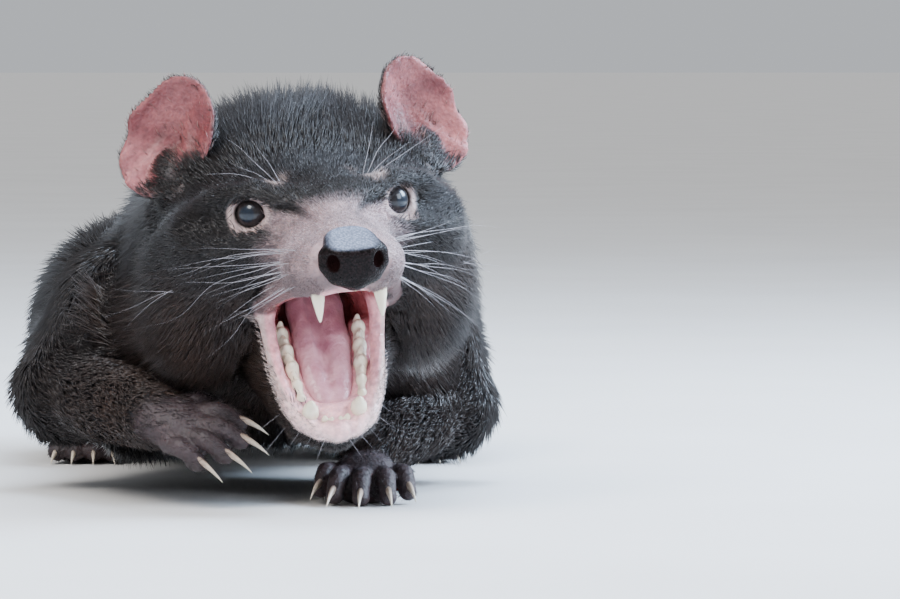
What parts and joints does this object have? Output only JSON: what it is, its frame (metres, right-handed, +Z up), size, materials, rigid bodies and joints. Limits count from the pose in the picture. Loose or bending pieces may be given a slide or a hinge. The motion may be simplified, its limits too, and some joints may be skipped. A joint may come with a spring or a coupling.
{
  "type": "animal figure",
  "caption": "Still life-size Tasmanian devil, crouching with its mouth wide open, one forefoot planted and the other raised.",
  "frame": {"origin": "middle of the footprint's bounding box, at the level of the soles", "axes": "+Z up, +Y towards the tail, so the animal faces -Y, and +X to its left"},
  "size_m": [0.1846, 0.6452, 0.1617],
  "materials": {
    "coat": "short dense black-brown fur",
    "bare_skin": "bare dark pinkish-grey skin of the feet",
    "ear_skin": "thin bare reddish-pink skin",
    "eye": "wet dark brown eye",
    "nose_pad": "moist black pebbled skin",
    "tongue": "moist pink tongue",
    "claw": "pale horn"
  },
  "bodies": {
    "root": {"belly": "coat", "chest": "coat", "ear_left": "ear_skin", "ear_right": "ear_skin", "eye_left": "eye", "eye_right": "eye", "fore_claw_left_1": "claw", "fore_claw_left_2": "claw", "fore_claw_left_3": "claw", "fore_claw_left_4": "claw", "fore_claw_left_5": "claw", "fore_claw_right_1": "claw", "fore_claw_right_2": "claw", "fore_claw_right_3": "claw", "fore_claw_right_4": "claw", "fore_claw_right_5": "claw", "forearm_left": "coat", "forearm_right": "coat", "forefoot_left": "bare_skin", "forefoot_right": "bare_skin", "head": "coat", "hind_claw_left_1": "claw", "hind_claw_left_2": "claw", "hind_claw_left_3": "claw", "hind_claw_left_4": "claw", "hind_claw_right_1": "claw", "hind_claw_right_2": "claw", "hind_claw_right_3": "claw", "hind_claw_right_4": "claw", "hindfoot_left": "bare_skin", "hindfoot_right": "bare_skin", "lower_jaw": "coat", "neck": "coat", "nose": "nose_pad", "rump": "coat", "shank_left": "coat", "shank_right": "coat", "tail_base": "coat", "tail_tip": "coat", "thigh_left": "coat", "thigh_right": "coat", "tongue": "tongue", "upper_arm_left": "coat", "upper_arm_right": "coat"}
  },
  "joints": []
}
